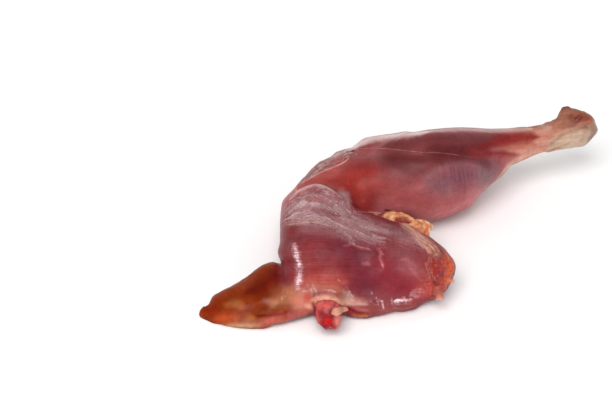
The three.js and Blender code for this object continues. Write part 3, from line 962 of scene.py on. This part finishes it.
def makeWax():
    # bone, gristle or fat: a painted tint, mottled, with fine lumps
    sockets = {"Tint": "Color", "Lump": "Float", "Mottle": "Float", "Rough": "Float", "Coat": "Float"}
    results = {"Colour": "Color", "Roughness": "Float", "Coat": "Float", "Height": "Float"}
    group, given, made = newGroup("wax", sockets, results)
    cloud = mottled(group, given["Lump"])
    fine = mottled(group, times(group, given["Lump"], 4.0), 3.0)
    less = maths(group, "SUBTRACT", 1.0, given["Mottle"])
    more = plus(group, given["Mottle"], 1.0)
    little = times(group, given["Mottle"], 0.6)
    gain = plus(group, spread(group, cloud, less, more),
                spread(group, fine, times(group, little, -1.0), little))
    smooth = plus(group, given["Rough"], -0.08)
    coarse = plus(group, given["Rough"], 0.1)
    coat = ranged(group, cloud, 0.4, 0.6, times(group, given["Coat"], 0.2), given["Coat"])
    group.links.new(scaled(group, given["Tint"], gain), made["Colour"])
    group.links.new(spread(group, fine, smooth, coarse), made["Roughness"])
    group.links.new(coat, made["Coat"])
    group.links.new(plus(group, cloud, times(group, fine, 0.35)), made["Height"])
    return group


wax = makeWax()


def newMaterial(name):
    material = bpy.data.materials.new(name)
    material.use_nodes = True
    tree = material.node_tree
    tree.nodes.clear()
    shader = tree.nodes.new("ShaderNodeBsdfPrincipled")
    output = tree.nodes.new("ShaderNodeOutputMaterial")
    tree.links.new(shader.outputs[0], output.inputs[0])
    return material, tree, shader


def setConstants(shader, **values):
    for name, value in values.items():
        shader.inputs[name.replace("_", " ")].default_value = value


def screen(red, green, blue):
    return (*linear(red, green, blue), 1.0)


def thinLine(tree, name, breaks):
    across = maths(tree, "ABSOLUTE", attribute(tree, name))
    line = times(tree, ranged(tree, across, 0.4, 1.4, 1.0, 0.0), attribute(tree, name + "Strength"))
    return times(tree, line, breaks)


def bumped(tree, shader, height, strength, distance):
    bump = place(tree, "ShaderNodeBump", Height=height, Strength=strength, Distance=distance)
    tree.links.new(bump.outputs[0], shader.inputs["Normal"])


meatTones = {
    "line": screen(208, 178, 178),
    "shade": screen(112, 62, 72),
    "thread": screen(214, 164, 150),
    "crack": screen(84, 26, 24),
    "glint": screen(206, 158, 162),
    "paintedHighlight": screen(240, 222, 224),
}


def meatMaterial():
    material, tree, shader = newMaterial("rawMeat")
    tint = attribute(tree, "tint", "Color")
    grain = attribute(tree, "grain", "Vector")
    sweep = attribute(tree, "sweep", "Vector")
    fascia, band, cut, shank = (attribute(tree, name) for name in ("fascia", "band", "cut", "shank"))
    wetness, paintedShine = (attribute(tree, name) for name in ("wet", "paintedShine"))
    across = streak(tree, grain, 1.6, 0.1)    # bands across the limb
    along = streak(tree, grain, 0.05, 1.1)    # fibres along it
    brushed = streak(tree, sweep, 1.9, 0.2)    # lines in the fascia
    cloud = mottled(tree, 130.0)
    fine = mottled(tree, 1100.0, 3.0)
    broken = mottled(tree, 420.0, 2.0)

    # brighter and darker bands, fibres and blotches
    bandGain = times(tree, spread(tree, across, -0.5, 0.5), plus(tree, times(tree, band, 0.34), 0.12))
    fibreGain = times(tree, spread(tree, along, -0.5, 0.5), plus(tree, times(tree, shank, 0.16), 0.16))
    cloudGain = plus(tree, spread(tree, cloud, 0.86, 1.14), spread(tree, broken, -0.07, 0.07))
    coarse = plus(tree, times(tree, cut, 0.4), times(tree, fascia, 0.34))
    fineGain = times(tree, spread(tree, fine, -0.5, 0.5), plus(tree, coarse, 0.12))
    gain = plus(tree, plus(tree, bandGain, fibreGain), plus(tree, cloudGain, fineGain))
    colour = scaled(tree, tint, gain)

    # lines and folds of the fascia, threads and cracks
    lines = times(tree, ranged(tree, brushed, 0.48, 0.62), times(tree, fascia, 0.6))
    lines = times(tree, lines, ranged(tree, fine, 0.38, 0.6, 0.25, 1.2))
    colour = mixColour(tree, lines, colour, meatTones["line"])
    shade = times(tree, ranged(tree, brushed, 0.48, 0.34), times(tree, fascia, 0.42))
    colour = mixColour(tree, shade, colour, meatTones["shade"])
    thread = thinLine(tree, "pale", ranged(tree, broken, 0.36, 0.6, 0.5, 1.0))
    colour = mixColour(tree, thread, colour, meatTones["thread"])
    colour = mixColour(tree, thinLine(tree, "dark", 1.0), colour, meatTones["crack"])

    # painted glints: highlight colours mixed into the base colour, broken by the bands
    ripple = plus(tree, spread(tree, across, -0.5, 0.5), spread(tree, broken, -0.5, 0.5))
    ripple = plus(tree, ripple, spread(tree, along, -0.3, 0.3))
    wrinkled = times(tree, paintedShine, plus(tree, ripple, 1.0))
    colour = mixColour(tree, ranged(tree, wrinkled, 0.25, 1.2, 0.0, 0.8), colour, meatTones["glint"])
    colour = mixColour(tree, ranged(tree, wrinkled, 0.8, 1.5, 0.0, 0.9), colour, meatTones["paintedHighlight"])
    tree.links.new(colour, shader.inputs["Base Color"])

    rough = plus(tree, spread(tree, cloud, 0.34, 0.44), times(tree, fascia, 0.1))
    tree.links.new(rough, shader.inputs["Roughness"])
    drops = plus(tree, times(tree, wetness, 0.9), ranged(tree, cloud, 0.4, 0.65, 0.0, 0.12))
    tree.links.new(drops, shader.inputs["Coat Weight"])
    setConstants(shader, Specular_IOR_Level=0.13, Coat_Roughness=0.17, Subsurface_Weight=0.15,
                 Subsurface_Scale=0.0018, Subsurface_Radius=(1.0, 0.28, 0.2))

    height = plus(tree, times(tree, across, plus(tree, times(tree, band, 0.5), 0.15)),
                  plus(tree, times(tree, fine, 0.1), times(tree, broken, 0.22)))
    height = plus(tree, height, times(tree, brushed, times(tree, fascia, 0.5)))
    height = plus(tree, height, times(tree, thread, 0.3))
    bumped(tree, shader, height, 0.6, 0.7 * mm)
    return material


def waxyMaterial(name, look):
    material, tree, shader = newMaterial(name)
    made = useGroup(tree, wax, Tint=attribute(tree, "tint", "Color"), Lump=look["lump"],
                    Mottle=look["mottle"], Rough=look["rough"], Coat=look["coat"])
    for result, socket in (("Colour", "Base Color"), ("Roughness", "Roughness"), ("Coat", "Coat Weight")):
        tree.links.new(made[result], shader.inputs[socket])
    setConstants(shader, Specular_IOR_Level=look["sheen"], Coat_Roughness=0.16,
                 Subsurface_Weight=look["soft"], Subsurface_Scale=0.002, Subsurface_Radius=(1.0, 0.5, 0.3))
    bumped(tree, shader, made["Height"], 0.5, look["depth"] * mm)
    return material


# lump is the noise's scale per metre, depth is in mm
bone = {
    "lump": 260.0, "sheen": 0.25, "mottle": 0.1, "rough": 0.42,
    "coat": 0.25, "soft": 0.12, "depth": 0.35,
}
rawBone = {
    "lump": 420.0, "sheen": 0.14, "mottle": 0.22, "rough": 0.34,
    "coat": 0.14, "soft": 0.2, "depth": 0.6,
}
flapFat = {
    "lump": 150.0, "sheen": 0.06, "mottle": 0.16, "rough": 0.36,
    "coat": 0.1, "soft": 0.3, "depth": 0.3,
}
fat = {
    "lump": 330.0, "sheen": 0.16, "mottle": 0.24, "rough": 0.42,
    "coat": 0.1, "soft": 0.25, "depth": 0.5,
}

knuckle = {
    "voxel": 0.5,
    "fairing": 10,
    "flattened": 0.55,    # how much of what stands past its facet goes
    "swell": {"height": 0.6, "reach": 6.0},    # mm, where the sheath ends
    "strokes": [
        ("sheath", 9, 1.0, 1.5, [(552, 124), (568, 118), (588, 116)]),
        ("sheathTan", 3.2, 0.9, 1.4, [(550, 138), (564, 131), (578, 126), (592, 121)]),
        ("greyCream", 4.6, 0.85, 0.9, [(588, 126), (594, 132), (588, 141)]),
        ("cream", 4.5, 0.8, 1.3, [(560, 144), (573, 140), (584, 136)]),
        ("greyCream", 2.6, 0.5, 0.8, [(585, 128), (584, 135), (581, 142)]),
        ("tan", 2.2, 0.6, 0.9, [(560, 116), (568, 114), (576, 112)]),
        ("rust", 2.4, 0.5, 0.9, [(583, 114), (588, 119), (586, 124)]),
        ("sheathTan", 1.0, 0.4, 1.0, [(562, 130), (574, 126), (585, 123)]),
        ("sheath", 2.6, 0.5, 0.8, [(556, 130), (566, 127), (580, 124)]),
        ("brownRed", 1.4, 0.6, 1.0, [(559, 113), (563, 109), (569, 108)]),
        ("pit", 2.3, 1.0, 1.6, [(575.5, 118.5), (578.5, 118), (582, 117.5)]),
        ("sheathTan", 2.2, 0.7, 1.2, [(550, 147), (560, 147)]),
    ],
    "ridges": [(1.1, 4.5, [(580, 115), (589, 121)])],
    "lumps": [(5.0, 0.2), (1.6, 0.06)],
    "facet": (beside(shinWay, shinSide, 102, 0.5, 18.8), rightward * 0.71 - upward * 0.71, 4.2),
}
stub = {
    "voxel": 0.42,
    "fairing": 8,
    "swell": {"height": 0.7, "reach": 2},    # mm, where it leaves the meat
    "drawn": [(12, (0.0, 3.0), [(322, 330), (333, 331)]), (10, (-3.0, 0.5), [(317, 316), (319, 324)])],
    "strokes": [
        # pale top of the stub, painted lighter against the shade under the hem
        ("stubPale", 3.4, 0.9, 1.2, [(314, 305), (326, 305), (340, 306)]),
        ("coral", 1.6, 0.7, 0.9, [(318, 306), (326, 304), (332, 305)]),
        ("stubPale", 2.0, 0.8, 0.9, [(316, 311), (318, 319), (321, 327)]),
        ("rosePale", 2.0, 0.8, 0.9, [(325, 308), (328, 313)]),
        ("stubPale", 2.2, 0.8, 0.9, [(317, 307), (321, 310)]),
        ("marrow", 3.2, 1.0, 1.8, [(327, 319), (328, 326)]),
        ("stubPale", 2.2, 0.9, 1.0, [(337, 315), (338, 322), (336, 329)]),
        ("lobePink", 1.7, 0.85, 1.0, [(335, 317), (337, 322), (336, 329)]),
        ("lobePink", 1.2, 0.7, 0.9, [(321, 327), (328, 329.5), (336, 329)]),
        # thin dark lines between the stub's lobes: painted shade in the grooves
        ("deepRed", 0.7, 0.5, 1.0, [(321, 313), (323, 317), (323, 322), (325, 328)]),
        ("deepRed", 0.8, 0.6, 1.0, [(336, 304), (332, 308), (331, 314), (332, 320)]),
        ("deepRed", 0.7, 0.4, 1.0, [(315, 311), (318, 319), (321, 326)]),
        ("deepRed", 0.6, 0.2, 1.0, [(318, 311), (323, 313), (329, 314)]),
    ],
    "ridges": [
        (1.1, 2.4, [(335, 310), (337, 320), (338, 329)]),
        (-1.2, 2.2, [(326, 319), (328, 325)]),
        (0.6, 2.0, [(318, 312), (319, 322)]),
        (-0.9, 1.6, [(330, 332), (331, 327)]),
        (-0.5, 1.2, [(335, 305), (331, 309), (331, 316)]),
    ],
    "lumps": [(2.6, 0.45), (1.2, 0.22)],
}
crookFat = {
    "voxel": 0.38,
    "fairing": 8,
    "swell": {"height": 0.8, "from": 0.5, "reach": 2.5},    # mm, beside the meat
    "strokes": [
        ("fatYellow", 3.4, 0.9, 1.3, [(392, 214), (405, 212), (418, 216), (428, 222)]),
        ("cutEdge", 2.4, 0.6, 1.0, [(424, 230), (431, 236)]),
        ("fatCream", 1.6, 0.8, 1.2, [(392, 213), (402, 213)]),
    ],
    "pit": [(398, 219), (403, 219), (408, 221)],
    "ridges": [(-1.2, 2.4, [(399, 219), (407, 220)])],
    "lumps": [(2.8, 0.7), (1.2, 0.35), (0.7, 0.15)],
    # pixels: its corner is trimmed to the right of and below one place, and its other end left of a line
    "corner": {"at": (427, 225), "ramp": (8, 6), "depth": 3.0},
    "leftEnd": {"at": 392, "ramp": 12, "depth": 2.6},
}
flankFlap = {
    "voxel": 0.5,
    "fairing": 10,
    "relaxed": 60,
    "swell": 0.7,    # mm
    "sunk": 1.8,    # mm, where it goes into the thigh
    "lumps": [(7.0, 0.4), (2.6, 0.15)],
    "drawnBack": 3.0,    # mm, its front edge beside the bone
    "drawn": [
        (14, (0.0, -4.5), [(276, 327), (292, 323), (310, 319)]),
        (12, (0.0, 3.0), [(204, 317), (212, 320)]),
    ],
    "ridges": [
        (-0.5, 1.6, [(256, 315), (270, 315), (284, 314), (300, 309)]),
        (0.5, 3, [(262, 303), (276, 303), (286, 297)]),
    ],
    # at the thigh
    "border": [
        (279, 250), (281, 262), (283, 272), (285, 282), (287, 292), (291, 300), (296, 306), (300, 330),
    ],
    # planes that trim the meat which the flap takes in, and where it begins to sink, in mm
    "cuts": [((-37.0, 0, 0), (1, 0, 0)), ((0, -16.0, 0), (0, 1, 0)), ((0, 0, 18.0), (0, 0, 1))],
    "sinks": (-38.0, -16.0, 18.0),
}


def shape(skin, look):
    # small hollows, ridges and lumps, in mm
    relief = sum(height * noiseAt(skin.points, size, i) for i, (size, height) in enumerate(look["lumps"]))
    for height, reach, path in look.get("ridges", []):
        relief = relief + height * skin.brush(path, reach)
    return relief


def toMeat(skin, meat):
    # from each point to the meat's surface, in mm
    return np.array([meat.skin.tree.find_nearest(Vector(p) * mm)[3] / mm for p in skin.points])


def makeBones(meat):
    skin = Skin("shin_bone", "ankleKnuckle", knuckle["voxel"], knuckle["fairing"])
    skin.drawOutline(ankleDrawn)
    skin.settle()
    paint = Paint(skin, "cream")
    paint.strokes(knuckle["strokes"])
    paint.soften(6)
    relief = shape(skin, knuckle)
    middle, facing, reach = knuckle["facet"]
    beyond = (skin.points - middle) @ facing - reach
    skin.points = skin.points - np.outer(np.maximum(beyond, 0) * knuckle["flattened"], facing)
    away = skin.points - sheathEnd
    slant = away @ shinWay - sheathSlant * away[:, 2]
    swell = knuckle["swell"]
    skin.push(relief + swell["height"] * np.exp(-(slant / swell["reach"]) ** 2))
    paint.store()
    skin.finish(waxyMaterial("gristle", bone))

    skin = Skin("thigh_bone", "hipStub", stub["voxel"], stub["fairing"])
    skin.drawOutline(stub["drawn"])
    skin.settle()
    paint = Paint(skin, "stubMid")
    paint.strokes(stub["strokes"])
    paint.soften(2)
    swell = stub["swell"]
    skin.push(shape(skin, stub) + swell["height"] * ease(1 - toMeat(skin, meat) / swell["reach"]))
    paint.store()
    skin.finish(waxyMaterial("rawBone", rawBone))
    return skin


def makeFat(meat):
    skin = Skin("knee_fat", "crookFat", crookFat["voxel"], crookFat["fairing"])
    paint = Paint(skin, "crookTan")
    paint.strokes(crookFat["strokes"])
    curds = layered(skin.points, (1.6, 31, 1.0), (0.8, 32, 0.5))
    paint.dapple(1.0, curds, ("fatCream", 0.7, 1.8), ("salmon", 0.6, 1.6))
    paint.lay(0.95 * skin.brush(crookFat["pit"], 2.6, 1.6, 0.3, 0.6), "flapRed")
    px, py = seenAt(skin.points)
    corner, leftEnd = crookFat["corner"], crookFat["leftEnd"]
    (cornerX, cornerY), (rampX, rampY) = corner["at"], corner["ramp"]
    trimmed = ease((px - cornerX) / rampX) * ease((py - cornerY) / rampY)
    swell = crookFat["swell"]
    away = (toMeat(skin, meat) - swell["from"]) / swell["reach"]
    relief = shape(skin, crookFat) + swell["height"] * ease(1 - away)
    relief = relief - leftEnd["depth"] * ease((leftEnd["at"] - px) / leftEnd["ramp"])
    skin.push(relief - corner["depth"] * trimmed)
    paint.store()
    skin.finish(waxyMaterial("fat", fat))

    # the flap takes in the meat beside it, and sinks into the thigh where the two have one colour
    plugs = [("meat", 0.3, flankFlap["cuts"])]
    skin = Skin("flank_fat", "flankFlap", flankFlap["voxel"], flankFlap["fairing"], plugs)
    skin.relax(flankFlap["relaxed"])
    px, py = seenAt(skin.points)
    skin.points[:, 1] += flankFlap["drawnBack"] * ease((px - 280) / 26) * ease((py - 306) / 10)
    skin.drawOutline(flankFlap["drawn"])
    skin.settle()
    # the flap's base colour, darkened in part as painted shade
    paint = Paint(skin, "fatOrange")
    paint.strokes(apron)
    paint.soften(6)
    px, py = seenAt(skin.points)
    edgeX, edgeY = np.array(flankFlap["border"], float).T
    pastEdge = px - np.interp(py, edgeY, edgeX) + 4 * skin.waver
    paint.blend(ease((pastEdge + 12) / 12), meat)
    toCut = np.minimum.reduce(((flankFlap["sinks"] - skin.points) * (2, 1, 1)).T)
    sunk = np.maximum(ease(1 - toCut / 7), ease((pastEdge + 14) / 26))
    skin.push((flankFlap["swell"] + shape(skin, flankFlap)) * (1 - sunk) - flankFlap["sunk"] * sunk)
    paint.store()
    skin.finish(waxyMaterial("flapFat", flapFat))


shreds = {
    "sides": 10,
    "thick": 0.7,    # mm
    "ragged": {"torn": 0.35, "tied": 0.12},
    "rooted": (2.2, 0.9),    # mm, how deep a torn one's first two steps lie
    "ties": (1.0, 0.6),    # mm, how deep a tied one's ends lie
    "lift": 0.3,    # mm, how far a tied one lies on top between them
    # path in the picture, half widths in mm and colours at root and tip, and whether the tip is tied too
    "tongues": [
        ([(435, 284), (438, 291), (439.5, 295.5), (440, 300)], (2.8, 1.5), ("cutPink", "fatLine"), False),
        ([(443, 279), (448.5, 280.5), (454, 281.5)], (2.4, 0.6), ("cutEdge", "fatLine"), False),
        # the strand beside the bone: its tip painted paler against the shade it lies in
        ([(333, 313), (336, 312), (339, 311), (342, 310), (345, 309.5), (348, 309)], (1.7, 1.2),
         ("fatLine", "hem"), True),
    ],
}


def makeShreds(skins):
    # torn tongues of tissue that hang from the cut end, and a strand beside the bone
    bm = bmesh.new()
    tint = bm.verts.layers.float_color.new("tint")

    def nearest(pixel):
        hits = [skin.lineAt([pixel]) for skin in skins]
        return min((hit[0] for hit in hits if len(hit)), key=lambda hit: (hit - eye) @ ahead)

    for path, widths, colours, tied in shreds["tongues"]:
        rough = shreds["ragged"]["tied" if tied else "torn"]
        root = nearest(path[0])
        perPixel = (root - eye) @ ahead / focal
        startX, startY = path[0]
        steps = [root + (rightward * (x - startX) - upward * (y - startY)) * perPixel for x, y in path]
        if tied:
            fall = (nearest(path[-1]) - root) @ ahead
            steps = [step + ahead * fall * i / (len(path) - 1) for i, step in enumerate(steps)]
            # laid over whatever is seen there
            below = [(step - nearest(pixel)) @ ahead for step, pixel in zip(steps, path)]
            steps = [step - ahead * max(0.0, depth + shreds["lift"]) for step, depth in zip(steps, below)]
            depths = {0: shreds["ties"][0], -1: shreds["ties"][1]}
        else:
            depths = dict(enumerate(shreds["rooted"]))
        for i, depth in depths.items():
            steps[i] = steps[i] + ahead * depth
        line = smoothLine(steps, 5)
        face = None
        for i, centre in enumerate(line):
            along = i / (len(line) - 1)
            way = line[min(i + 1, len(line) - 1)] - line[max(i - 1, 0)]
            way = way / np.linalg.norm(way)
            side = np.cross(way, ahead)
            side = side / np.linalg.norm(side)
            flat = np.cross(side, way)
            width = widths[0] + (widths[1] - widths[0]) * ease(along * 1.3)
            if tied:
                width = width * math.sqrt(min(1.0, 0.2 + along * 5))
            thick = shreds["thick"] * (1.2 - 0.7 * along)
            if face is None:
                made = bmesh.ops.create_circle(bm, cap_ends=True, radius=mm, segments=shreds["sides"])
                face = made["verts"][0].link_faces[0]
            else:
                made = bmesh.ops.extrude_face_region(bm, geom=[face])["geom"]
                bm.faces.remove(face)
                face = next(part for part in made if isinstance(part, bmesh.types.BMFace))
            for k, vert in enumerate(face.verts):
                turn = 2 * math.pi * k / shreds["sides"]
                ragged = 1 + rough * noise.noise(Vector((along * 3.5, k * 0.7, 3.1)))
                corner = centre + side * math.cos(turn) * width * ragged + flat * math.sin(turn) * thick
                vert.co = Vector(corner) * mm
                mixed = flesh[colours[0]] * (1 - along ** 2) + flesh[colours[1]] * along ** 2
                vert[tint] = (*mixed, 1.0)
    bmesh.ops.recalc_face_normals(bm, faces=bm.faces)
    mesh = bpy.data.meshes.new("cutShreds")
    bm.to_mesh(mesh)
    bm.free()
    mesh.polygons.foreach_set("use_smooth", np.ones(len(mesh.polygons), bool))
    mesh.materials.append(waxyMaterial("tornTissue", rawBone))
    piece = bpy.data.objects.new("cutShreds", mesh)
    bpy.context.scene.collection.objects.link(piece)
    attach(piece, "root")
    print("cutShreds", len(mesh.vertices), "points")


# floor and light
studio = {
    "floorSize": 6.0,
    "floor": 1.0,
    "ambient": 0.56,
    "lights": [
        # name, place, aim (m), width, height (m), which way its height points, power (W)
        ("keyBox", (-0.4, -1.35, 2.1), (0, 0, 0), 1.7, 1.7, (0, 0, 1), 42.0),
        ("leftStrip", (-1.0, 0.1, 0.13), (-0.04, -0.02, 0.015), 1.5, 0.09, (0, 0, 1), 2.0),
        ("frontStrip", (0.35, -1.05, 0.3), (0.0, -0.03, 0.01), 0.8, 0.1, (0, 0, 1), 3.0),
    ],
}


def makeStudio():
    bm = bmesh.new()
    bmesh.ops.create_grid(bm, x_segments=1, y_segments=1, size=studio["floorSize"])
    mesh = bpy.data.meshes.new("floor")
    bm.to_mesh(mesh)
    bm.free()
    floor = bpy.data.objects.new("floor", mesh)
    bpy.context.scene.collection.objects.link(floor)
    material, tree, shader = newMaterial("paleFloor")
    tone = studio["floor"]
    setConstants(shader, Base_Color=(tone, tone, tone, 1), Roughness=0.8, Specular_IOR_Level=0.1)
    mesh.materials.append(material)
    for name, at, aim, width, height, rise, power in studio["lights"]:
        data = bpy.data.lights.new(name, "AREA")
        data.shape = "RECTANGLE"
        data.size, data.size_y = width, height
        data.energy = power
        light = bpy.data.objects.new(name, data)
        light.location = at
        back = (Vector(at) - Vector(aim)).normalized()
        side = Vector(rise).cross(back).normalized()
        light.rotation_mode = "QUATERNION"
        light.rotation_quaternion = Matrix((side, back.cross(side), back)).transposed().to_quaternion()
        bpy.context.scene.collection.objects.link(light)
    world = bpy.data.worlds.new("studio")
    world.use_nodes = True
    background = world.node_tree.nodes["Background"]
    background.inputs["Color"].default_value = (1, 1, 1, 1)
    background.inputs["Strength"].default_value = studio["ambient"]
    bpy.context.scene.world = world
    bpy.context.scene.view_settings.view_transform = "Standard"


meat = makeMeat()
print("meat made")
stubSkin = makeBones(meat)
print("bones made")
makeFat(meat)
print("fat made")
makeShreds([meat.skin, stubSkin])
print("shreds made")
makeStudio()
print("studio made")
